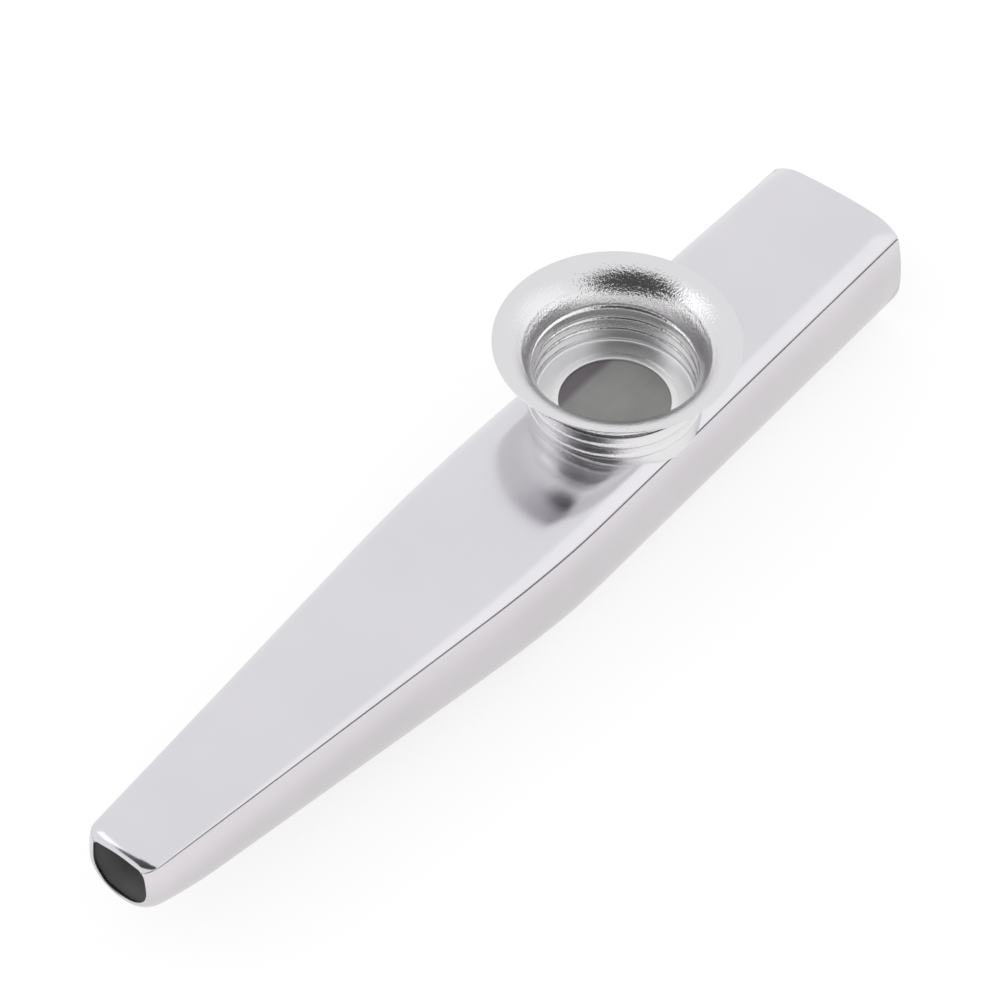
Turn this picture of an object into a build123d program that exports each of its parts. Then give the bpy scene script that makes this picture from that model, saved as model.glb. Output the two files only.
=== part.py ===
from build123d import *
import math
import os

# Body sheet, all stations measured along the length from the mouth end
body_length = 120.0
wall = 0.5
bend_start = 53.0
bend_end = 73.0
bend_steps = 5
belly_break = 59.0

# Plan widths at the seam between the two shells
mouth_width = 17.2
bend_width = 18.6
outlet_width = 8.45

# Heights of the body section, at the wide part and at the outlet
body_depth = 14.9
outlet_depth = 9.0
outlet_lift = 0.8
seam_drop = 1.85
outlet_seam_drop = 0.75
seam_inset_fall = 0.5
crown_sag = 0.18
outlet_crown_sag = 0.1
shoulder_width = 3.6
outlet_shoulder_width = 1.9
side_bulge = 0.85
outlet_side_bulge = 0.3
belly_radius = 6.4
outlet_belly_radius = 3.0

# Belly's tuck behind the outlet, which rounds the trough under it and leaves a narrow flat
tuck_run = 9.0
tuck_rise = 0.2
tuck_flat = 0.2

# Turned-in lip of the outlet
lip_radius = 0.7
lip_thickness = 1.1
lip_turn = 1.05
lip_steps = 4

# Lap of the upper shell inside the trough
lap_depth = 2.2
lap_wall = 0.4
lap_gap = 0.1
lap_root = 0.3
lap_foot = 0.15

# Turret collar drawn up from the upper shell, heights from the crown
turret_station = 40.5
collar_wall = 0.14
collar_top = 3.4
seat_depth = 1.4
seat_thickness = 0.4
seat_hole_radius = 6.3

# Rolled thread shared by the collar and the cap
thread_pitch = 1.6
thread_height = 0.2
thread_root_width = 0.8
thread_crest_width = 0.3
thread_clear = 0.05
thread_turns = 1.75
thread_play = 0.12
coil_bury = 0.1
rib_lead_out = 0.5
rib_height = 0.1
rib_width = 0.9
dent_depth = 0.15
dent_width = 0.6

# Flared cap
cap_radius = 9.05
cap_wall = 0.25
cap_play = 0.08
cap_corner_radius = 0.6
cap_floor_hole_radius = 6.85
flare_radius = 5.1
flange_radius = 13.35
flange_top = 8.65

# Resonator
film_thickness = 0.1
ring_thickness = 0.35
ring_hole_radius = 6.08
ring_play = 0.3

# How far a cutting shape runs past the face it cuts
overrun = 1.0

mouth_x = -body_length / 2
turret_x = mouth_x + turret_station
tuck_start = body_length - tuck_run
crown_z = body_depth
bore_radius = cap_radius + cap_play
groove_radius = bore_radius + thread_height
collar_radius = groove_radius + collar_wall
seat_top_z = crown_z - seat_depth
seat_bottom_z = seat_top_z - seat_thickness
collar_top_z = crown_z + collar_top
film_z = seat_top_z + ring_thickness
upper_ring_z = film_z + film_thickness
cap_floor_z = upper_ring_z + ring_thickness
flange_top_z = crown_z + flange_top
corner_z = cap_floor_z + cap_corner_radius
thread_z = corner_z + thread_clear + thread_root_width / 2
collar_threads = (collar_top_z - thread_z) / thread_pitch
land_z = thread_z - thread_pitch / 2
rib_turns = collar_threads - rib_lead_out
thread_flank = (thread_root_width - thread_crest_width) / thread_height
land_width = thread_pitch - thread_root_width + thread_flank * cap_play - 2 * thread_play
land_root_width = thread_pitch - thread_crest_width - 2 * thread_play
ring_radius = bore_radius - ring_play
stand = (Align.CENTER, Align.CENTER, Align.MIN)

# Slopes of the two straight runs of the seam in plan
mouth_slope = (bend_width - mouth_width) / 2 / bend_start
bend_run = bend_end - bend_start
taper_run = body_length - bend_end
taper_fall = (outlet_width - bend_width - mouth_slope * bend_run) / 2
taper_slope = taper_fall / (bend_run / 2 + taper_run)


def toward_outlet(station, at_body, at_outlet):
    """Hold a size as far as the belly break, then change it evenly to the outlet."""
    share = max(0.0, (station - belly_break) / (body_length - belly_break))
    return at_body + (at_outlet - at_body) * share


def seam_half_width(station):
    """Half the plan width: two straight runs joined by a parabolic bend."""
    if station <= bend_start:
        return mouth_width / 2 + mouth_slope * station
    bent = min(station, bend_end) - bend_start
    curve = mouth_slope * bent + (taper_slope - mouth_slope) * bent**2 / (2 * bend_run)
    return bend_width / 2 + curve + taper_slope * max(0.0, station - bend_end)


def tuck_share(station):
    """How far the tuck has come at a station, growing as a parabola up to the outlet."""
    along = (station - tuck_start) / (body_length - tuck_start)
    return min(max(along, 0.0), 1.0) ** 2


def seam_height(station):
    crown = toward_outlet(station, crown_z, crown_z + outlet_lift)
    return crown - toward_outlet(station, seam_drop, outlet_seam_drop)


def body_section(station, inset=0.0):
    """Cross-section of the body at a station, drawn in evenly by the inset."""
    crown = toward_outlet(station, crown_z, crown_z + outlet_lift) - inset
    belly = toward_outlet(station, 0.0, crown_z + outlet_lift - outlet_depth) + inset
    belly += tuck_rise * tuck_share(station)
    bulge = toward_outlet(station, side_bulge, outlet_side_bulge)
    corner = toward_outlet(station, belly_radius, outlet_belly_radius)
    corner += (seam_half_width(station) + bulge - tuck_flat / 2 - corner) * tuck_share(station)
    corner -= inset
    sag = toward_outlet(station, crown_sag, outlet_crown_sag)
    shoulder = toward_outlet(station, shoulder_width, outlet_shoulder_width)
    seam_y = seam_half_width(station) - inset
    seam_point = (seam_y, seam_height(station) - inset * seam_inset_fall)
    shoulder_point = (seam_y - shoulder, crown - sag)
    side_y = seam_y + bulge
    plane = Plane((mouth_x + station, 0, 0), x_dir=(0, 1, 0), z_dir=(1, 0, 0))
    with BuildSketch(plane) as section:
        with BuildLine():
            crown_arc = TangentArc((0, crown), shoulder_point, tangent=(1, 0))
            TangentArc(shoulder_point, seam_point, tangent=crown_arc % 1)
            TangentArc((side_y, belly + corner), seam_point, tangent=(0, 1))
            RadiusArc((side_y - corner, belly), (side_y, belly + corner), -corner)
            Line((0, belly), (side_y - corner, belly))
            mirror(about=Plane.YZ)
        make_face()
    return section.sketch


def body_solid(inset, first, last):
    """Filled body between two stations, drawn in by the inset, curved within the bend and the tuck."""
    breaks = sorted({first, bend_start, belly_break, bend_end, tuck_start, min(last, body_length), last})
    with BuildPart() as solid:
        for start, end in zip(breaks, breaks[1:]):
            middle = (start + end) / 2
            curved = bend_start < middle < bend_end or tuck_start < middle < body_length
            stations = [start, middle, end] if curved else [start, end]
            loft([body_section(station, inset) for station in stations])
    return solid.part


def above_seam(shift):
    """Everything above the seam, moved up by the shift."""
    far = body_length + overrun
    top = flange_top_z + overrun
    with BuildPart() as region:
        with BuildSketch(Plane.XZ):
            with BuildLine():
                Polyline(
                    (mouth_x - overrun, seam_height(0.0) + shift),
                    (mouth_x + belly_break, seam_height(belly_break) + shift),
                    (mouth_x + far, seam_height(far) + shift),
                    (mouth_x + far, top),
                    (mouth_x - overrun, top),
                    close=True,
                )
            make_face()
        extrude(amount=bend_width, both=True)
    return region.part


def inside_plan(inset):
    """Everything inside the seam's outline in plan, drawn in by the inset."""
    stations = [bend_start + bend_run * step / bend_steps for step in range(bend_steps + 1)]
    stations = [-overrun, *stations, body_length + overrun]
    edge = [(mouth_x + station, seam_half_width(station) - inset) for station in stations]
    with BuildPart() as region:
        with BuildSketch():
            with BuildLine():
                Polyline(*edge, *[(x, -y) for x, y in reversed(edge)], close=True)
            make_face()
        extrude(amount=flange_top_z)
    return region.part


def thread_coil(wall_radius, wall_width, height, crest_width, bury, start_z, turns):
    """Right-handed helical bar round the turret axis, standing on a wall and rooted behind its face.

    A negative height stands the bar inward.
    """
    outward = math.copysign(1.0, height)
    crest_radius = wall_radius + height
    root_radius = wall_radius - outward * bury
    root_width = wall_width + (wall_width - crest_width) / abs(height) * bury
    mean_radius = (root_radius + crest_radius) / 2
    with BuildPart() as coil:
        with BuildLine() as path:
            Helix(thread_pitch, thread_pitch * turns, mean_radius)
        with BuildSketch(Plane.XZ):
            with BuildLine():
                Polyline(
                    (root_radius, -root_width / 2),
                    (crest_radius, -crest_width / 2),
                    (crest_radius, crest_width / 2),
                    (root_radius, root_width / 2),
                    close=True,
                )
            make_face()
        sweep(path=path.wire(), is_frenet=True)
    return Pos(turret_x, 0, start_z) * coil.part


def rounded_end(step):
    """Cross-section on the round of the outlet lip, from its start to the end face."""
    angle = math.pi / 2 * step / lip_steps
    station = body_length - lip_radius * (1 - math.sin(angle))
    return body_section(station, lip_radius * (1 - math.cos(angle)))


# Filled shapes that both shells are cut from
with BuildPart() as outer_body:
    add(body_solid(0.0, 0.0, body_length - lip_radius))
    loft([rounded_end(step) for step in range(lip_steps + 1)], ruled=True)
lip_start = body_length - lip_thickness
lip_stations = (lip_start, body_length + overrun)
cavity = body_solid(wall, -overrun, lip_start)
outlet_opening = body_solid(lip_turn, -overrun, body_length + overrun)
top_region = above_seam(0.0)

# Upper half of the turned-in lip, which hangs between the trough's sides, and its room there
with BuildPart() as upper_lip:
    loft([body_section(station, wall + lap_gap) for station in lip_stations])
    add(outer_body.part, mode=Mode.INTERSECT)
    add(outlet_opening, mode=Mode.SUBTRACT)
    add(above_seam(lap_gap - lip_turn), mode=Mode.INTERSECT)
with BuildPart() as lip_room:
    loft([body_section(station, wall) for station in lip_stations])
    add(above_seam(-lip_turn), mode=Mode.INTERSECT)

# Trough that makes the sides and the belly
with BuildPart() as lower_shell:
    add(outer_body.part)
    add(cavity, mode=Mode.SUBTRACT)
    add(outlet_opening, mode=Mode.SUBTRACT)
    add(top_region, mode=Mode.SUBTRACT)
    add(lip_room.part, mode=Mode.SUBTRACT)

# Lap that hangs from the upper shell inside the trough
lap_inset = wall + lap_gap
lap_end = lip_start - lap_gap
between_laps = inside_plan(lap_inset + lap_wall + lap_foot)
with BuildPart() as lap:
    add(body_solid(lap_inset, 0.0, lap_end))
    add(body_solid(lap_inset + lap_wall, -overrun, lap_end), mode=Mode.SUBTRACT)
    add(above_seam(-lap_depth), mode=Mode.INTERSECT)
    add(top_region, mode=Mode.SUBTRACT)
    add(between_laps, mode=Mode.SUBTRACT)
with BuildPart() as lap_shelf:
    add(body_solid(wall / 2, 0.0, lap_end))
    add(top_region, mode=Mode.INTERSECT)
    add(above_seam(lap_root), mode=Mode.SUBTRACT)
    add(between_laps, mode=Mode.SUBTRACT)

# Crowned top plate with the turret collar and the resonator's seat
with BuildPart() as upper_shell:
    add(outer_body.part)
    add(cavity, mode=Mode.SUBTRACT)
    add(outlet_opening, mode=Mode.SUBTRACT)
    add(top_region, mode=Mode.INTERSECT)
    add(upper_lip.part)
    add(lap_shelf.part)
    add(lap.part)
    with Locations((turret_x, 0, seat_bottom_z)):
        Cylinder(collar_radius, collar_top_z - seat_bottom_z, align=stand)
    with Locations((turret_x, 0, seat_top_z)):
        Cylinder(groove_radius, collar_top_z + overrun - seat_top_z, align=stand, mode=Mode.SUBTRACT)
    with Locations((turret_x, 0, seat_bottom_z)):
        Cylinder(seat_hole_radius, 2 * seat_thickness, mode=Mode.SUBTRACT)
    add(
        thread_coil(
            groove_radius, land_root_width, -thread_height, land_width, coil_bury, land_z, collar_threads
        )
    )
    add(
        thread_coil(
            collar_radius, rib_width, rib_height, thread_crest_width, coil_bury, thread_z, rib_turns
        )
    )

# Flared cap, a thin ring with a rolled thread
throat_radius = cap_radius - cap_wall
flare_axis_radius = cap_radius + flare_radius
flare_middle_radius = flare_radius + cap_wall / 2
flare_throat_radius = flare_radius + cap_wall
flare_turn = math.acos((flare_axis_radius + cap_wall / 2 - flange_radius) / flare_middle_radius)
flare_out = math.cos(flare_turn)
flare_up = math.sin(flare_turn)
flare_z = flange_top_z - cap_wall / 2 - flare_middle_radius * flare_up
rim_under = (flare_axis_radius - flare_radius * flare_out, flare_z + flare_radius * flare_up)
rim_over = (flare_axis_radius - flare_throat_radius * flare_out, flare_z + flare_throat_radius * flare_up)
rim_tip = (
    flare_axis_radius - flare_middle_radius * flare_out + cap_wall / 2 * flare_up,
    flare_z + flare_middle_radius * flare_up + cap_wall / 2 * flare_out,
)
floor_edge = cap_radius - cap_corner_radius
inner_corner = cap_corner_radius - cap_wall
with BuildPart() as turret_cap:
    with BuildSketch(Plane((turret_x, 0, 0), x_dir=(1, 0, 0), z_dir=(0, -1, 0))):
        with BuildLine():
            Line((cap_floor_hole_radius, cap_floor_z), (floor_edge, cap_floor_z))
            RadiusArc((floor_edge, cap_floor_z), (cap_radius, corner_z), -cap_corner_radius)
            Line((cap_radius, corner_z), (cap_radius, flare_z))
            RadiusArc((cap_radius, flare_z), rim_under, flare_radius)
            ThreePointArc(rim_under, rim_tip, rim_over)
            RadiusArc(rim_over, (throat_radius, flare_z), -flare_throat_radius)
            Line((throat_radius, flare_z), (throat_radius, corner_z))
            RadiusArc((throat_radius, corner_z), (floor_edge, cap_floor_z + cap_wall), inner_corner)
            Line((floor_edge, cap_floor_z + cap_wall), (cap_floor_hole_radius, cap_floor_z + cap_wall))
            Line((cap_floor_hole_radius, cap_floor_z + cap_wall), (cap_floor_hole_radius, cap_floor_z))
        make_face()
    revolve(axis=Axis((turret_x, 0, 0), (0, 0, 1)))
    add(
        thread_coil(
            cap_radius, thread_root_width, thread_height, thread_crest_width, coil_bury, thread_z, thread_turns
        )
    )
    add(
        thread_coil(
            throat_radius, dent_width, dent_depth, thread_crest_width, cap_wall, thread_z, thread_turns
        ),
        mode=Mode.SUBTRACT,
    )

# Resonator: a thin sheet held between two flat rings
with BuildPart() as film_ring_lower:
    with BuildSketch(Plane((turret_x, 0, seat_top_z))):
        Circle(ring_radius)
        Circle(ring_hole_radius, mode=Mode.SUBTRACT)
    extrude(amount=ring_thickness)

with BuildPart() as resonator_film:
    with BuildSketch(Plane((turret_x, 0, film_z))):
        Circle(ring_radius)
    extrude(amount=film_thickness)

with BuildPart() as film_ring_upper:
    with BuildSketch(Plane((turret_x, 0, upper_ring_z))):
        Circle(ring_radius)
        Circle(ring_hole_radius, mode=Mode.SUBTRACT)
    extrude(amount=ring_thickness)

os.makedirs("parts", exist_ok=True)
lower_shell.part.label = "lower_shell"
export_step(lower_shell.part, "parts/lower_shell.step")
upper_shell.part.label = "upper_shell"
export_step(upper_shell.part, "parts/upper_shell.step")
turret_cap.part.label = "turret_cap"
export_step(turret_cap.part, "parts/turret_cap.step")
film_ring_lower.part.label = "film_ring_lower"
export_step(film_ring_lower.part, "parts/film_ring_lower.step")
resonator_film.part.label = "resonator_film"
export_step(resonator_film.part, "parts/resonator_film.step")
film_ring_upper.part.label = "film_ring_upper"
export_step(film_ring_upper.part, "parts/film_ring_upper.step")
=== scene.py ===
import bpy
import bmesh
import math
from mathutils import Euler, Matrix, Vector


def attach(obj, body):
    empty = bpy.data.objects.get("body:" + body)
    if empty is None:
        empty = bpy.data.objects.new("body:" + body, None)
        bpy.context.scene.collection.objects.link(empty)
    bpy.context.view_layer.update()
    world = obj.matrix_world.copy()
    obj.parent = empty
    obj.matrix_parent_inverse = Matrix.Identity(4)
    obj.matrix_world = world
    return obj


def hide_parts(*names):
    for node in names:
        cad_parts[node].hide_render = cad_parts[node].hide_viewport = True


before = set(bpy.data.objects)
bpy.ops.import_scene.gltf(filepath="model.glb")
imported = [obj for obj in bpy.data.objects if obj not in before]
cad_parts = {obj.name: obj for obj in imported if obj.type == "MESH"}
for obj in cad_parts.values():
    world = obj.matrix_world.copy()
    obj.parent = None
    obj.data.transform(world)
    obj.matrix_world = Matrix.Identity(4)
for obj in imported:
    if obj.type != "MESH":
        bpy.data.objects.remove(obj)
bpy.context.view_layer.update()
mm = 0.001
print("frame loaded:", ", ".join(sorted(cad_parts)))


# small helpers

def addNode(tree, kind, **sockets):
    node = tree.nodes.new(kind)
    for key, value in sockets.items():
        node.inputs[key.replace("_", " ")].default_value = value
    return node


def wire(tree, source, target):
    tree.links.new(source, target)


def smoothStep(low, high, value):
    t = min(max((value - low) / (high - low), 0.0), 1.0)
    return t * t * (3.0 - 2.0 * t)


# finishes

def makeBlastGrain():  # fine blasted grain with a slow drift of tone, shared by every metal finish
    tree = bpy.data.node_groups.new("blastGrain", "ShaderNodeTree")
    face = tree.interface
    for name, kind, start in (
        ("Grain Scale", "NodeSocketFloat", 6000.0),
        ("Tone A", "NodeSocketColor", (0.7, 0.7, 0.7, 1.0)),
        ("Tone B", "NodeSocketColor", (0.6, 0.6, 0.6, 1.0)),
        ("Rough Low", "NodeSocketFloat", 0.2),
        ("Rough High", "NodeSocketFloat", 0.3),
    ):
        face.new_socket(name, in_out="INPUT", socket_type=kind).default_value = start
    face.new_socket("Colour", in_out="OUTPUT", socket_type="NodeSocketColor")
    face.new_socket("Roughness", in_out="OUTPUT", socket_type="NodeSocketFloat")
    face.new_socket("Height", in_out="OUTPUT", socket_type="NodeSocketFloat")
    given = tree.nodes.new("NodeGroupInput")
    out = tree.nodes.new("NodeGroupOutput")
    place = tree.nodes.new("ShaderNodeTexCoord")
    fine = addNode(tree, "ShaderNodeTexNoise", Detail=2.0, Roughness=0.6)
    broad = addNode(tree, "ShaderNodeTexNoise", Scale=70.0, Detail=3.0, Roughness=0.5)
    spread = addNode(tree, "ShaderNodeMapRange", From_Min=0.35, From_Max=0.65)
    tone = tree.nodes.new("ShaderNodeMix")
    tone.data_type = "RGBA"
    rough = addNode(tree, "ShaderNodeMapRange", From_Min=0.3, From_Max=0.7)
    wire(tree, place.outputs["Object"], fine.inputs["Vector"])
    wire(tree, place.outputs["Object"], broad.inputs["Vector"])
    wire(tree, given.outputs["Grain Scale"], fine.inputs["Scale"])
    wire(tree, broad.outputs["Fac"], spread.inputs["Value"])
    wire(tree, spread.outputs["Result"], tone.inputs[0])
    wire(tree, given.outputs["Tone A"], tone.inputs[6])
    wire(tree, given.outputs["Tone B"], tone.inputs[7])
    wire(tree, fine.outputs["Fac"], rough.inputs["Value"])
    wire(tree, given.outputs["Rough Low"], rough.inputs["To Min"])
    wire(tree, given.outputs["Rough High"], rough.inputs["To Max"])
    wire(tree, tone.outputs[2], out.inputs["Colour"])
    wire(tree, rough.outputs["Result"], out.inputs["Roughness"])
    wire(tree, fine.outputs["Fac"], out.inputs["Height"])
    return tree


def changeWithHeight(tree, colour, higher):  # a second tone that takes over further up the piece
    place = tree.nodes.new("ShaderNodeTexCoord")
    split = tree.nodes.new("ShaderNodeSeparateXYZ")
    rise = addNode(tree, "ShaderNodeMapRange", From_Min=higher["from"] * mm, From_Max=higher["to"] * mm)
    rise.interpolation_type = "SMOOTHSTEP"
    tone = tree.nodes.new("ShaderNodeMix")
    tone.data_type = "RGBA"
    tone.inputs[7].default_value = (*higher["tone"], 1.0)
    wire(tree, place.outputs["Object"], split.inputs["Vector"])
    wire(tree, split.outputs["Z"], rise.inputs["Value"])
    wire(tree, rise.outputs["Result"], tone.inputs[0])
    wire(tree, colour, tone.inputs[6])
    return tone.outputs[2]


def makeMetal(name, finish):
    mat = bpy.data.materials.new(name)
    mat.use_nodes = True
    tree = mat.node_tree
    shader = tree.nodes["Principled BSDF"]
    shader.inputs["Metallic"].default_value = finish.get("metallic", 1.0)
    grain = tree.nodes.new("ShaderNodeGroup")
    grain.node_tree = blastGrain
    grain.inputs["Grain Scale"].default_value = finish["grainScale"]
    grain.inputs["Tone A"].default_value = (*finish["toneA"], 1.0)
    grain.inputs["Tone B"].default_value = (*finish["toneB"], 1.0)
    grain.inputs["Rough Low"].default_value = finish["rough"][0]
    grain.inputs["Rough High"].default_value = finish["rough"][1]
    bump = addNode(tree, "ShaderNodeBump", Strength=finish["bump"], Distance=finish["grainDepth"] * mm)
    colour = grain.outputs["Colour"]
    if "higher" in finish:
        colour = changeWithHeight(tree, colour, finish["higher"])
    wire(tree, colour, shader.inputs["Base Color"])
    wire(tree, grain.outputs["Roughness"], shader.inputs["Roughness"])
    wire(tree, grain.outputs["Height"], bump.inputs["Height"])
    wire(tree, bump.outputs["Normal"], shader.inputs["Normal"])
    return mat


blastGrain = makeBlastGrain()
plateFinish = {"grainScale": 9000.0, "toneA": (0.70, 0.688, 0.725), "toneB": (0.68, 0.67, 0.70),
               "rough": (0.15, 0.2), "bump": 0.08, "grainDepth": 0.02}
troughFinishAndPaintedReflection = {"grainScale": 9000.0, "toneA": (0.648, 0.622, 0.642), "toneB": (0.622, 0.597, 0.616),
                "rough": (0.22, 0.28), "bump": 0.08, "grainDepth": 0.02,
                "higher": {"from": 9.5, "to": 14.0, "tone": (0.73, 0.70, 0.728)}}  # painted reflection: the side turns paler towards the seam and darker low down
collarFinish = {"grainScale": 6000.0, "toneA": (0.81, 0.80, 0.81), "toneB": (0.77, 0.76, 0.77),
                "rough": (0.12, 0.18), "bump": 1.0, "grainDepth": 0.05}
capFinish = {"grainScale": 3500.0, "toneA": (0.87, 0.86, 0.87), "toneB": (0.83, 0.82, 0.83),
             "rough": (0.1, 0.15), "bump": 1.0, "grainDepth": 0.05,
             "higher": {"from": 20.8, "to": 22.4, "tone": (0.72, 0.71, 0.725)}}  # satin rim over a bright throat
capFloorFinish = {"grainScale": 6000.0, "toneA": (0.86, 0.855, 0.865), "toneB": (0.83, 0.825, 0.835),
                  "rough": (0.34, 0.44), "bump": 0.5, "grainDepth": 0.02}
ringFinish = {"grainScale": 8000.0, "toneA": (0.90, 0.90, 0.90), "toneB": (0.86, 0.86, 0.86),
              "rough": (0.3, 0.4), "bump": 0.15, "grainDepth": 0.02}
insideFinish = {"grainScale": 4000.0, "toneA": (0.50, 0.50, 0.51), "toneB": (0.43, 0.43, 0.43),
                "rough": (0.4, 0.55), "bump": 0.3, "grainDepth": 0.02, "metallic": 0.3}
plateMetal = makeMetal("plateSatin", plateFinish)
troughMetal = makeMetal("troughSatin", troughFinishAndPaintedReflection)
collarMetal = makeMetal("collarBright", collarFinish)
capMetal = makeMetal("capBright", capFinish)
capFloorMetal = makeMetal("capFloorBlasted", capFloorFinish)
ringMetal = makeMetal("ringBright", ringFinish)
insideMetal = makeMetal("unpolishedInside", insideFinish)


def makeFilm(look):
    mat = bpy.data.materials.new("filmSheet")
    mat.use_nodes = True
    tree = mat.node_tree
    shader = tree.nodes["Principled BSDF"]
    shader.inputs["Roughness"].default_value = look["rough"]
    shader.inputs["Alpha"].default_value = look["alpha"]
    place = tree.nodes.new("ShaderNodeTexCoord")
    cloud = addNode(tree, "ShaderNodeTexNoise", Scale=look["cloudScale"], Detail=4.0, Roughness=0.55)
    spread = addNode(tree, "ShaderNodeMapRange", From_Min=0.38, From_Max=0.62)
    tone = tree.nodes.new("ShaderNodeMix")
    tone.data_type = "RGBA"
    tone.inputs[6].default_value = (*look["dark"], 1.0)
    tone.inputs[7].default_value = (*look["pale"], 1.0)
    # painted shade: the film turns darker past a band of Y
    split = tree.nodes.new("ShaderNodeSeparateXYZ")
    paintedShadeBand = addNode(tree, "ShaderNodeMapRange", From_Min=look["paintedShadeBand"][0] * mm, From_Max=look["paintedShadeBand"][1] * mm)
    paintedShadeBand.interpolation_type = "SMOOTHSTEP"
    paintedShadeMix = tree.nodes.new("ShaderNodeMix")
    paintedShadeMix.data_type = "RGBA"
    paintedShadeMix.inputs[6].default_value = (*look["shade"], 1.0)
    crease = addNode(tree, "ShaderNodeTexNoise", Scale=look["creaseScale"], Detail=3.0, Roughness=0.5)
    bump = addNode(tree, "ShaderNodeBump", Strength=0.25, Distance=0.0001)
    wire(tree, place.outputs["Object"], cloud.inputs["Vector"])
    wire(tree, place.outputs["Object"], crease.inputs["Vector"])
    wire(tree, cloud.outputs["Fac"], spread.inputs["Value"])
    wire(tree, spread.outputs["Result"], tone.inputs[0])
    wire(tree, place.outputs["Object"], split.inputs["Vector"])
    wire(tree, split.outputs["Y"], paintedShadeBand.inputs["Value"])
    wire(tree, paintedShadeBand.outputs["Result"], paintedShadeMix.inputs[0])
    wire(tree, tone.outputs[2], paintedShadeMix.inputs[7])
    wire(tree, paintedShadeMix.outputs[2], shader.inputs["Base Color"])
    wire(tree, crease.outputs["Fac"], bump.inputs["Height"])
    wire(tree, bump.outputs["Normal"], shader.inputs["Normal"])
    return mat


filmLook = {"pale": (0.37, 0.375, 0.365), "dark": (0.31, 0.315, 0.305), "shade": (0.19, 0.17, 0.19),
            "rough": 0.28, "alpha": 0.92, "cloudScale": 160.0, "creaseScale": 420.0,
            "paintedShadeBand": (-4.6, -3.6)}  # painted shade up to the first Y, plain from the second
filmSheet = makeFilm(filmLook)
print("finishes ready")


# body sheet: two pressed shells that share one section, sizes in millimetres

bodyShape = {
    "length": 120.0, "mouthX": -60.0, "bendStart": 53.0, "bendEnd": 73.0, "bellyBreak": 59.0,
    "mouthWidth": 17.2, "bendWidth": 18.6, "outletWidth": 8.45,
    "crown": (14.9, 15.7), "seam": (13.05, 14.95), "belly": (0.0, 6.7), "sag": (0.18, 0.1),
    "shoulder": (3.6, 1.9), "bulge": (0.85, 0.3), "corner": (6.4, 3.0), "seamFall": 0.5,
    "tuckStart": 111.0, "tuckRise": 0.2, "tuckFlat": 0.1,
    "sheet": 0.5, "edgeRound": 0.07, "rimAngle": 60.0,
    "lipRun": 1.6, "lipRound": 0.85, "lipTurn": 1.05, "lipEdge": 0.17, "lipBack": 0.5,
    "outletCorner": 2.7, "outletRun": 2.3,
    "shoulderShare": 0.5, "flatShare": 0.15, "cornerShare": 0.6,  # where the arcs of a section meet
}
bodySteps = {"bend": 6, "belly": 10, "taper": 14, "tuck": 10, "lip": 7, "lipEdge": 4}
turning = {"longEdge": 1.0, "coarseStep": 0.6, "uprightGap": 0.001}
turretX = -19.5
weldGap = 0.0005
smoothAngle = 40.0


def towardOutlet(station, name):
    share = max(0.0, (station - bodyShape["bellyBreak"]) / (bodyShape["length"] - bodyShape["bellyBreak"]))
    wide, narrow = bodyShape[name]
    return wide + (narrow - wide) * share


def halfWidth(station):  # plan half width at the seam: straight, parabola, straight
    b = bodyShape
    run = b["bendEnd"] - b["bendStart"]
    slopeA = (b["bendWidth"] - b["mouthWidth"]) / 2 / b["bendStart"]
    slopeB = ((b["outletWidth"] - b["bendWidth"] - slopeA * run) / 2) / (run / 2 + b["length"] - b["bendEnd"])
    if station <= b["bendStart"]:
        return b["mouthWidth"] / 2 + slopeA * station
    bent = min(station, b["bendEnd"]) - b["bendStart"]
    curve = slopeA * bent + (slopeB - slopeA) * bent ** 2 / (2 * run)
    return b["bendWidth"] / 2 + curve + slopeB * max(0.0, station - b["bendEnd"])


def plateArcs(station, inset):
    sag = towardOutlet(station, "sag")
    crown = towardOutlet(station, "crown") - inset
    seamY = halfWidth(station) - inset
    seamZ = towardOutlet(station, "seam") - inset * bodyShape["seamFall"]
    wide = towardOutlet(station, "shoulder")
    flatY = seamY - wide
    crownR = (flatY ** 2 + sag ** 2) / (2 * sag)
    lean = math.asin(flatY / crownR)
    drop = crown - sag - seamZ
    endLean = 2 * math.atan2(drop, wide) - lean
    shoulderR = math.hypot(wide, drop) / (2 * math.sin((endLean - lean) / 2))
    return crown, sag, flatY, crownR, lean, endLean, shoulderR


def platePoint(station, inset, along):  # along 0 at the middle, 1 at the seam
    crown, sag, flatY, crownR, lean, endLean, shoulderR = plateArcs(station, inset)
    split = bodyShape["shoulderShare"]
    if along < split:
        turn = lean * along / split
        return crownR * math.sin(turn), crown - crownR * (1 - math.cos(turn))
    turn = lean + (endLean - lean) * (along - split) / (1 - split)
    return (flatY + shoulderR * (math.sin(turn) - math.sin(lean)),
            crown - sag + shoulderR * (math.cos(turn) - math.cos(lean)))


def plateShare(station, y):  # the along that lies at a distance y from the middle
    crown, sag, flatY, crownR, lean, endLean, shoulderR = plateArcs(station, 0.0)
    split = bodyShape["shoulderShare"]
    if y <= flatY:
        return split * math.asin(y / crownR) / lean
    turn = math.asin(min(1.0, math.sin(lean) + (y - flatY) / shoulderR))
    return split + (1 - split) * (turn - lean) / (endLean - lean)


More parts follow.
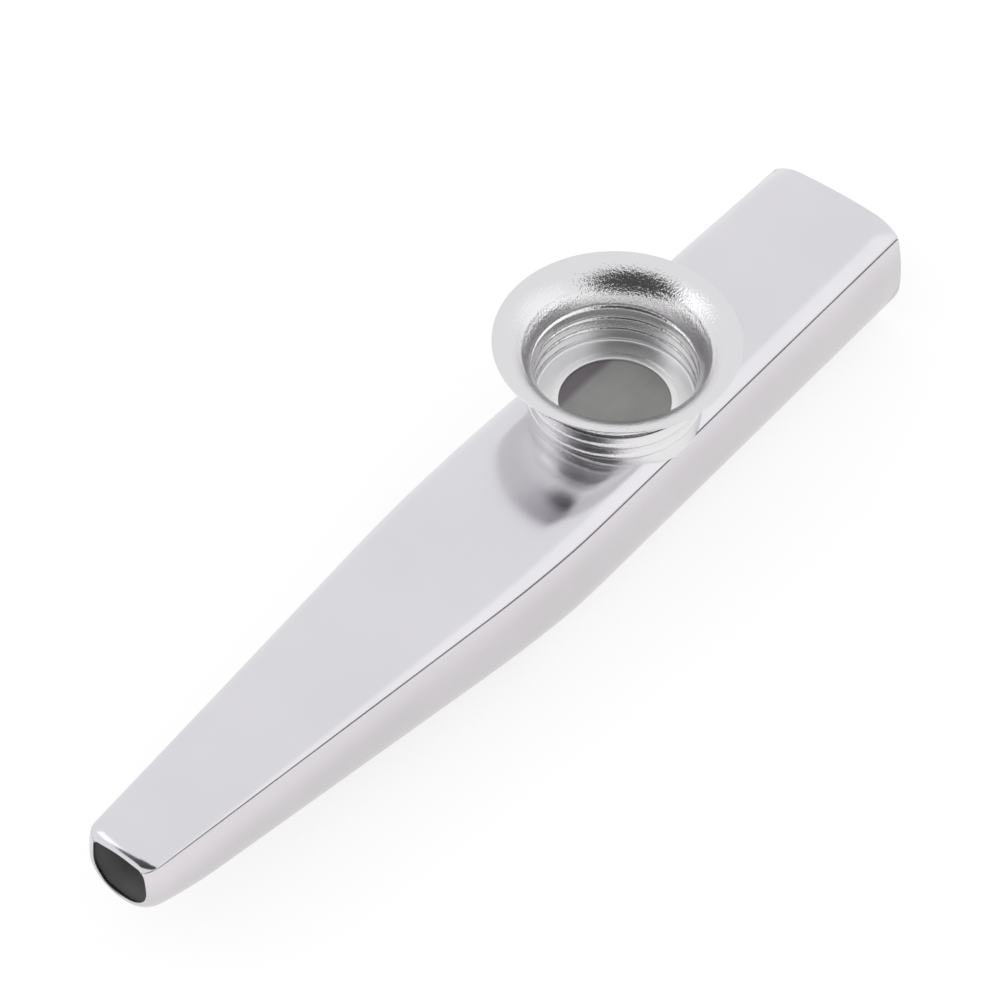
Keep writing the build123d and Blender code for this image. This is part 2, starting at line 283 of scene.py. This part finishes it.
def troughPoint(station, inset, along):  # along 0 under the middle, 1 at the seam
    b = bodyShape
    tuck = min(max((station - b["tuckStart"]) / (b["length"] - b["tuckStart"]), 0.0), 1.0) ** 2
    bulge = towardOutlet(station, "bulge")
    corner = towardOutlet(station, "corner")
    corner += (halfWidth(station) + bulge - b["tuckFlat"] - corner) * tuck - inset
    belly = towardOutlet(station, "belly") + b["tuckRise"] * tuck + inset
    sideY = halfWidth(station) - inset + bulge
    seamZ = towardOutlet(station, "seam") - inset * b["seamFall"]
    flatEnd, cornerEnd = b["flatShare"], b["cornerShare"]
    if along < flatEnd:
        return (sideY - corner) * along / flatEnd, belly
    if along < cornerEnd:
        turn = math.pi / 2 * (along - flatEnd) / (cornerEnd - flatEnd)
        return sideY - corner + corner * math.sin(turn), belly + corner * (1 - math.cos(turn))
    rise = seamZ - belly - corner
    sideR = (bulge ** 2 + rise ** 2) / (2 * bulge)
    turn = 2 * math.atan2(bulge, rise) * (along - cornerEnd) / (1 - cornerEnd)
    return sideY - sideR * (1 - math.cos(turn)), belly + corner + sideR * math.sin(turn)


def lipStops():  # station and inset round the turned-in lip of the outlet
    b = bodyShape
    stops = []
    for step in range(1, bodySteps["lip"] + 1):
        turn = math.pi / 2 * step / bodySteps["lip"]
        stops.append((b["length"] - b["lipRun"] * (1 - math.sin(turn)), b["lipRound"] * (1 - math.cos(turn))))
    flat = b["lipTurn"] - b["lipEdge"]
    for step in range(bodySteps["lipEdge"] + 1):
        turn = math.pi / 2 * step / bodySteps["lipEdge"]
        stops.append((b["length"] - b["lipEdge"] * (1 - math.cos(turn)), flat + b["lipEdge"] * math.sin(turn)))
    stops.append((b["length"] - b["lipBack"], b["lipTurn"]))
    return stops


def runStops(mouthStations):  # station and inset along a whole sheet, from the mouth round the lip
    b, s = bodyShape, bodySteps
    lipStart = b["length"] - b["lipRun"]
    stations = mouthStations + evenSteps(b["bendStart"], b["bellyBreak"], s["bend"])
    stations += evenSteps(b["bellyBreak"], b["bendEnd"], s["belly"])
    stations += evenSteps(b["bendEnd"], b["tuckStart"], s["taper"])
    stations += evenSteps(b["tuckStart"], lipStart, s["tuck"]) + [lipStart]
    return [(station, 0.0) for station in stations] + lipStops()


def nearOutlet(station):  # 0 along the body, 1 at the outlet
    return smoothStep(bodyShape["length"] - bodyShape["outletRun"], bodyShape["length"], station)


def easeCorner(station, inset, spot):  # draws the upper corners of the section into one round at the outlet
    radius = bodyShape["outletCorner"] * nearOutlet(station)
    middleY = halfWidth(station) + towardOutlet(station, "bulge") - radius
    middleZ = towardOutlet(station, "crown") - radius
    outY, outZ = spot[0] - middleY, spot[1] - middleZ
    away = math.hypot(max(outY, 0.0), max(outZ, 0.0))
    if radius < inset or outY < 0 or outZ < 0 or away < radius - inset:
        return spot
    keep = (radius - inset) / away
    return middleY + outY * keep, middleZ + outZ * keep


def evenSteps(first, last, count):
    return [first + (last - first) * step / count for step in range(count)]


def pressSheet(bm, stops, rows, place):  # a grid laid on half of the section, then mirrored
    bmesh.ops.create_grid(bm, x_segments=len(stops) - 1, y_segments=rows, size=1.0)
    for vert in bm.verts:
        station, inset = stops[round((vert.co.x + 1) / 2 * (len(stops) - 1))]
        y, z = easeCorner(station, inset, place(station, inset, (vert.co.y + 1) / 2))
        vert.co = (bodyShape["mouthX"] + station, y, z)
    bmesh.ops.mirror(bm, geom=bm.verts[:] + bm.edges[:] + bm.faces[:], axis="Y", merge_dist=weldGap)
    bmesh.ops.recalc_face_normals(bm, faces=bm.faces[:])


def giveThickness(bm, thickness, insideSlot):
    skin = set(bm.faces)
    bmesh.ops.solidify(bm, geom=bm.faces[:], thickness=thickness)
    for face in bm.faces:
        if face not in skin:
            face.material_index = insideSlot


def roundRims(bm):
    limit = math.radians(bodyShape["rimAngle"])
    rims = [edge for edge in bm.edges if len(edge.link_faces) == 2 and edge.calc_face_angle() > limit]
    bmesh.ops.bevel(bm, geom=rims, offset=bodyShape["edgeRound"], segments=2, profile=0.5, affect="EDGES",
                    material=-1)


def lineTo(bm, vert, spot):  # straight run of a profile in the XZ plane
    end = bm.verts.new((spot[0], 0.0, spot[1]))
    bm.edges.new((vert, end))
    return end


def arcTo(bm, vert, centre, angle, steps):  # round run of a profile
    swept = bmesh.ops.spin(bm, geom=[vert], cent=(centre[0], 0.0, centre[1]), axis=(0, 1, 0),
                           angle=math.radians(angle), steps=steps)
    return [item for item in swept["geom_last"] if isinstance(item, bmesh.types.BMVert)][0]


def turnProfile(bm, steps, fineStep):  # full turn about the axis, upright walls cut fine for a thread
    bmesh.ops.remove_doubles(bm, verts=bm.verts[:], dist=weldGap)
    for edge in [edge for edge in bm.edges if edge.calc_length() > turning["longEdge"]]:
        upright = abs(edge.verts[0].co.x - edge.verts[1].co.x) < turning["uprightGap"]
        cuts = int(edge.calc_length() / (fineStep if upright else turning["coarseStep"]))
        bmesh.ops.subdivide_edges(bm, edges=[edge], cuts=cuts)
    bmesh.ops.spin(bm, geom=bm.verts[:] + bm.edges[:], cent=(0, 0, 0), axis=(0, 0, 1), angle=2 * math.pi,
                   steps=steps, use_merge=True)
    bmesh.ops.remove_doubles(bm, verts=bm.verts[:], dist=weldGap)
    bmesh.ops.recalc_face_normals(bm, faces=bm.faces[:])


def rollThread(bm, walls, depth, thread, shape):  # pushes the walls between two radii out along a helix
    low, high = thread["zone"]
    for vert in bm.verts:
        radius = math.hypot(vert.co.x, vert.co.y)
        if not walls[0] < radius < walls[1] or not low < vert.co.z < high:
            continue
        phase = (vert.co.z - thread["first"]) / thread["pitch"] - math.atan2(vert.co.y, vert.co.x) / (2 * math.pi)
        away = abs(phase - round(phase))
        fade = smoothStep(low, low + thread["runIn"], vert.co.z)
        fade *= smoothStep(high, high - thread["runOut"], vert.co.z)
        push = 1 + depth * shape(away) * fade / radius
        vert.co.x *= push
        vert.co.y *= push


def makePiece(bm, name, mats):
    bmesh.ops.scale(bm, vec=(mm, mm, mm), verts=bm.verts[:])
    mesh = bpy.data.meshes.new(name)
    bm.to_mesh(mesh)
    bm.free()
    mesh.shade_smooth()
    mesh.set_sharp_from_angle(angle=math.radians(smoothAngle))
    for mat in mats:
        mesh.materials.append(mat)
    piece = bpy.data.objects.new(name, mesh)
    bpy.context.scene.collection.objects.link(piece)
    print("made", name, len(mesh.polygons), "faces")
    return piece


# trough: sides and belly

troughShape = {"rows": 30, "edgeAlong": 0.99, "mouthSteps": 14}


def buildTrough():
    t = troughShape
    stations = evenSteps(0, bodyShape["bendStart"], t["mouthSteps"])

    def place(station, inset, along):
        edge = t["edgeAlong"]
        return troughPoint(station, inset, along * (edge + (1 - edge) * nearOutlet(station)))

    bm = bmesh.new()
    pressSheet(bm, runStops(stations), t["rows"], place)
    giveThickness(bm, bodyShape["sheet"], 1)
    roundRims(bm)
    piece = makePiece(bm, "trough", [troughMetal, insideMetal])
    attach(piece, "body")
    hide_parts("lower_shell")


# top plate with its collar

collarShape = {"outer": 9.47, "bore": 9.33, "top": 18.3, "seatTop": 13.5, "seatUnder": 13.1, "seatHole": 6.3,
               "ribHeight": 0.13, "landHeight": 0.2, "step": 0.08, "turns": 200, "reach": (9.0, 10.0),
               "ribCrest": (0.06, 0.3), "landCrest": (0.17, 0.275)}
plateShape = {"rows": 28, "edgeAlong": 0.995, "hole": 9.4, "holeSteps": 44, "mouthSteps": 8, "pastSteps": 2,
              "leastStrip": 0.02}
collarThread = {"pitch": 1.6, "first": 15.35, "zone": (14.6, 18.25), "runIn": 0.3, "runOut": 0.3}


def addInto(target, source, slotIndex):  # moves one bmesh into another under a material slot
    mesh = bpy.data.meshes.new("carry")
    for face in source.faces:
        face.material_index = slotIndex
    source.to_mesh(mesh)
    source.free()
    target.from_mesh(mesh)
    bpy.data.meshes.remove(mesh)


def buildCollar():
    c = collarShape
    bm = bmesh.new()
    first = bm.verts.new((c["seatHole"], 0.0, c["seatUnder"]))
    last = first
    for spot in ((c["outer"], c["seatUnder"]), (c["outer"], c["top"]), (c["bore"], c["top"]),
                 (c["bore"], c["seatTop"]), (c["seatHole"], c["seatTop"])):
        last = lineTo(bm, last, spot)
    bm.edges.new((last, first))
    turnProfile(bm, c["turns"], c["step"])
    middle = (c["outer"] + c["bore"]) / 2
    inner, outer = c["reach"]
    rollThread(bm, (middle, outer), c["ribHeight"], collarThread,
               lambda away: 1 - smoothStep(*c["ribCrest"], away))
    rollThread(bm, (inner, middle), -c["landHeight"], collarThread,
               lambda away: smoothStep(*c["landCrest"], away))
    bmesh.ops.translate(bm, vec=(turretX, 0, 0), verts=bm.verts[:])
    return bm


def buildPlate():
    p = plateShape
    middle = turretX - bodyShape["mouthX"]
    ring = [middle - p["hole"] * math.cos(math.pi * step / p["holeSteps"]) for step in range(p["holeSteps"] + 1)]
    stations = evenSteps(0, ring[0], p["mouthSteps"]) + ring
    stations += evenSteps(ring[-1], bodyShape["bendStart"], p["pastSteps"])[1:]

    def place(station, inset, along):
        edge = p["edgeAlong"] + (1 - p["edgeAlong"]) * nearOutlet(station)
        reach = p["hole"] ** 2 - (station - middle) ** 2
        start = plateShare(station, math.sqrt(reach)) if reach > 0 else 0.0
        start = min(start, edge - p["leastStrip"])  # the collar is wider than the plate at its sides
        return platePoint(station, inset, start + (edge - start) * along)

    bm = bmesh.new()
    pressSheet(bm, runStops(stations), p["rows"], place)
    giveThickness(bm, bodyShape["sheet"], 1)
    roundRims(bm)
    addInto(bm, buildCollar(), 2)
    piece = makePiece(bm, "topPlate", [plateMetal, insideMetal, collarMetal])
    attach(piece, "body")
    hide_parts("upper_shell")


# flared cap

capShape = {"floorHole": 6.85, "floor": 14.3, "wall": 0.25, "radius": 9.05, "corner": 0.6, "flare": 5.1,
            "flangeRadius": 13.35, "top": 23.55, "threadDepth": 0.2, "step": 0.08, "turns": 200,
            "beadZ": 21.9, "beadHeight": 0.035, "beadWidth": 0.35, "threadWalls": (8.0, 10.0),
            "threadCrest": (0.04, 0.2), "cornerSteps": 8, "rimSteps": 8, "flareSteps": 80, "floorMargin": 0.1}
capThread = {"pitch": 1.6, "first": 15.35, "zone": (14.92, 20.6), "runIn": 0.3, "runOut": 0.9}


def buildCap():
    c = capShape
    bm = bmesh.new()
    wall, corner, flare = c["wall"], c["corner"], c["flare"]
    inner = c["radius"] - wall
    hub = c["radius"] + flare  # radius of the ring that the flare is swept round
    turn = math.acos((hub + wall / 2 - c["flangeRadius"]) / (flare + wall / 2))
    flareZ = c["top"] - wall / 2 - (flare + wall / 2) * math.sin(turn)
    rim = (hub - (flare + wall / 2) * math.cos(turn), c["top"] - wall / 2)
    elbow = (c["radius"] - corner, c["floor"] + corner)
    first = bm.verts.new((c["floorHole"], 0.0, c["floor"]))
    last = lineTo(bm, first, (elbow[0], c["floor"]))
    last = arcTo(bm, last, elbow, -90, c["cornerSteps"])
    last = lineTo(bm, last, (c["radius"], flareZ))
    last = arcTo(bm, last, (hub, flareZ), math.degrees(turn), c["flareSteps"])
    last = arcTo(bm, last, rim, -180, c["rimSteps"])
    last = arcTo(bm, last, (hub, flareZ), -math.degrees(turn), c["flareSteps"])
    last = lineTo(bm, last, (inner, elbow[1]))
    last = arcTo(bm, last, elbow, 90, c["cornerSteps"])
    last = lineTo(bm, last, (c["floorHole"], c["floor"] + wall))
    bm.edges.new((last, first))
    turnProfile(bm, c["turns"], c["step"])
    rollThread(bm, c["threadWalls"], c["threadDepth"], capThread,
               lambda away: 1 - smoothStep(*c["threadCrest"], away))
    for vert in bm.verts:  # fine bead where the flare leaves the throat
        bead = c["beadHeight"] * (1 - smoothStep(0, c["beadWidth"], abs(vert.co.z - c["beadZ"])))
        vert.co.xy *= 1 - bead / vert.co.xy.length
    for face in bm.faces:
        if face.calc_center_median().z < elbow[1] - c["floorMargin"]:
            face.material_index = 1
    bmesh.ops.translate(bm, vec=(turretX, 0, 0), verts=bm.verts[:])
    piece = makePiece(bm, "flaredCap", [capMetal, capFloorMetal])
    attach(piece, "cap")
    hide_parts("turret_cap")


# resonator: film between two rings

ringShape = {"outer": 8.83, "hole": 6.08, "thick": 0.35, "edge": 0.08, "turns": 144, "step": 0.2,
             "edgeSteps": 3, "lowerZ": 13.5, "upperZ": 13.95}
filmShape = {"radius": 8.83, "low": 13.85, "thick": 0.1, "ruffle": 0.09, "steps": 120, "cuts": 26,
             "freeShare": 0.75, "centreGap": 0.01,
             "swell": (0.55, 0.3, 0.4), "cross": (0.25, -0.6), "ripple": (-0.35, 0.9, 0.4)}


def buildRing(name, node, low):
    r = ringShape
    bm = bmesh.new()
    high, edge = low + r["thick"], r["edge"]
    first = bm.verts.new((r["hole"] + edge, 0.0, low))
    last = lineTo(bm, first, (r["outer"] - edge, low))
    last = arcTo(bm, last, (r["outer"] - edge, low + edge), -90, r["edgeSteps"])
    last = lineTo(bm, last, (r["outer"], high - edge))
    last = arcTo(bm, last, (r["outer"] - edge, high - edge), -90, r["edgeSteps"])
    last = lineTo(bm, last, (r["hole"] + edge, high))
    last = arcTo(bm, last, (r["hole"] + edge, high - edge), -90, r["edgeSteps"])
    last = lineTo(bm, last, (r["hole"], low + edge))
    arcTo(bm, last, (r["hole"] + edge, low + edge), -90, r["edgeSteps"])
    turnProfile(bm, r["turns"], r["step"])
    bmesh.ops.translate(bm, vec=(turretX, 0, 0), verts=bm.verts[:])
    piece = makePiece(bm, name, [ringMetal])
    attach(piece, "resonator")
    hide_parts(node)


def buildFilm():
    f = filmShape
    swell, cross, ripple = f["swell"], f["cross"], f["ripple"]
    bm = bmesh.new()
    bmesh.ops.create_circle(bm, cap_ends=True, cap_tris=True, radius=f["radius"], segments=f["steps"])
    spokes = [edge for edge in bm.edges if any(vert.co.length < f["centreGap"] for vert in edge.verts)]
    bmesh.ops.subdivide_edges(bm, edges=spokes, cuts=f["cuts"], use_grid_fill=True)
    for vert in bm.verts:
        x, y = vert.co.x, vert.co.y
        free = 1 - smoothStep(f["freeShare"] * ringShape["hole"], ringShape["hole"], math.hypot(x, y))
        wave = math.sin(swell[0] * x + swell[1] * y + swell[2]) * math.cos(cross[0] * x + cross[1] * y)
        wave += ripple[2] * math.sin(ripple[0] * x + ripple[1] * y)
        vert.co.z = f["low"] + f["thick"] + f["ruffle"] * wave * free
    bmesh.ops.recalc_face_normals(bm, faces=bm.faces[:])
    bmesh.ops.solidify(bm, geom=bm.faces[:], thickness=f["thick"])
    bmesh.ops.translate(bm, vec=(turretX, 0, 0), verts=bm.verts[:])
    piece = makePiece(bm, "buzzFilm", [filmSheet])
    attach(piece, "resonator")
    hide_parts("resonator_film")


buildTrough()
buildPlate()
buildCap()
buildRing("lowerRing", "film_ring_lower", ringShape["lowerZ"])
buildRing("upperRing", "film_ring_upper", ringShape["upperZ"])
buildFilm()


# floor, surroundings, lamps and camera

def makeFloor(look):
    bm = bmesh.new()
    bmesh.ops.create_grid(bm, x_segments=1, y_segments=1, size=look["size"])
    mesh = bpy.data.meshes.new("floor")
    bm.to_mesh(mesh)
    bm.free()
    mat = bpy.data.materials.new("paleFloor")
    mat.use_nodes = True
    tree = mat.node_tree
    tree.nodes.clear()
    out = tree.nodes.new("ShaderNodeOutputMaterial")
    sheet = addNode(tree, "ShaderNodeBsdfDiffuse", Color=(*look["colour"], 1.0))
    glow = addNode(tree, "ShaderNodeEmission", Color=(1.0, 1.0, 1.0, 1.0))
    both = tree.nodes.new("ShaderNodeAddShader")
    seen = seenRays(tree, 0.0, look["glow"])
    wire(tree, seen, glow.inputs["Strength"])
    wire(tree, sheet.outputs["BSDF"], both.inputs[0])
    wire(tree, glow.outputs["Emission"], both.inputs[1])
    wire(tree, both.outputs["Shader"], out.inputs["Surface"])
    mesh.materials.append(mat)
    floor = bpy.data.objects.new("floor", mesh)
    bpy.context.scene.collection.objects.link(floor)


def seenRays(tree, unseen, seen):  # one strength for camera, glossy and transmission rays, another for the rest
    path = tree.nodes.new("ShaderNodeLightPath")
    first = tree.nodes.new("ShaderNodeMath")
    first.operation = "MAXIMUM"
    second = tree.nodes.new("ShaderNodeMath")
    second.operation = "MAXIMUM"
    level = addNode(tree, "ShaderNodeMapRange", To_Min=unseen, To_Max=seen)
    wire(tree, path.outputs["Is Camera Ray"], first.inputs[0])
    wire(tree, path.outputs["Is Glossy Ray"], first.inputs[1])
    wire(tree, first.outputs["Value"], second.inputs[0])
    wire(tree, path.outputs["Is Transmission Ray"], second.inputs[1])
    wire(tree, second.outputs["Value"], level.inputs["Value"])
    return level.outputs["Result"]


def makeWorld(look):
    world = bpy.data.worlds.new("whiteRoom")
    world.use_nodes = True
    tree = world.node_tree
    back = tree.nodes["Background"]
    back.inputs["Color"].default_value = (1.0, 1.0, 1.0, 1.0)
    wire(tree, seenRays(tree, look["ambient"], look["seen"]), back.inputs["Strength"])
    bpy.context.scene.world = world


def skyPoint(azimuth, elevation, distance):  # azimuth from +X towards +Y
    a, e = math.radians(azimuth), math.radians(elevation)
    return Vector((math.cos(a) * math.cos(e), math.sin(a) * math.cos(e), math.sin(e))) * distance


def aimAt(obj, spot, target):
    obj.location = spot
    obj.rotation_euler = (Vector(target) - spot).to_track_quat("-Z", "Y").to_euler()


def makeLamp(name, look):
    lamp = bpy.data.lights.new(name, "AREA")
    lamp.shape = "RECTANGLE"
    lamp.size, lamp.size_y = look["size"]
    lamp.energy = look["power"]
    lamp.color = look["colour"]
    obj = bpy.data.objects.new(name, lamp)
    bpy.context.scene.collection.objects.link(obj)
    aimAt(obj, skyPoint(*look["place"]), studioTarget)


def makeCard(name, look):  # dark oval board that only the metal sees
    bm = bmesh.new()
    bmesh.ops.create_circle(bm, cap_ends=True, radius=0.5, segments=look["sides"])
    bmesh.ops.scale(bm, vec=(look["size"][0], look["size"][1], 1), verts=bm.verts[:])
    mesh = bpy.data.meshes.new(name)
    bm.to_mesh(mesh)
    bm.free()
    mat = bpy.data.materials.new(name + "Paint")
    mat.use_nodes = True
    shader = mat.node_tree.nodes["Principled BSDF"]
    shader.inputs["Base Color"].default_value = (*look["colour"], 1.0)
    shader.inputs["Roughness"].default_value = look["rough"]
    mesh.materials.append(mat)
    card = bpy.data.objects.new(name, mesh)
    bpy.context.scene.collection.objects.link(card)
    aimAt(card, skyPoint(*look["place"]), studioTarget)
    card.visible_camera = False
    card.visible_diffuse = False
    card.visible_shadow = False


studioTarget = (0, 0, 0.012)
floorLook = {"size": 3.0, "colour": (0.35, 0.35, 0.35), "glow": 0.72}
roomLook = {"ambient": 0.85, "seen": 1.0}
lamps = {
    "leftBox": {"place": (-50, 42, 0.8), "size": (0.5, 0.32), "power": 0.26, "colour": (1.0, 1.0, 1.0)},
    "rightBox": {"place": (130, 30, 0.8), "size": (0.7, 0.5), "power": 0.2, "colour": (1.0, 1.0, 1.0)},
}
makeFloor(floorLook)
makeWorld(roomLook)
for lampName, lampLook in lamps.items():
    makeLamp(lampName, lampLook)
cards = {
    "cameraBoard": {"place": (20, 44, 0.62), "size": (1.1, 0.66), "colour": (0.16, 0.16, 0.16), "rough": 0.9,
                    "sides": 48},
}
for cardName, cardLook in cards.items():
    makeCard(cardName, cardLook)

cameraSetup = {"azimuth": 128.2788, "elevation": 48.3264, "roll": 0.8426, "distance": 474.7745,
               "target": (0.1726, 0.0, 15.1626), "lens": 162.75, "sensor": 36.0, "clip": (0.01, 20.0)}


def makeCamera(c):
    data = bpy.data.cameras.new("photoCamera")
    data.sensor_width = c["sensor"]
    data.lens = c["lens"]
    data.clip_start, data.clip_end = c["clip"]
    turn = Euler((math.radians(90 - c["elevation"]), 0, math.radians(c["azimuth"]))).to_matrix()
    spot = (Vector(c["target"]) + turn.col[2] * c["distance"]) * mm
    turn = turn @ Matrix.Rotation(math.radians(c["roll"]), 3, "Z")
    camera = bpy.data.objects.new("photoCamera", data)
    camera.matrix_world = Matrix.LocRotScale(spot, turn, None)
    bpy.context.scene.collection.objects.link(camera)
    bpy.context.scene.camera = camera


makeCamera(cameraSetup)
bpy.context.scene.view_settings.view_transform = "Standard"
print("studio ready")
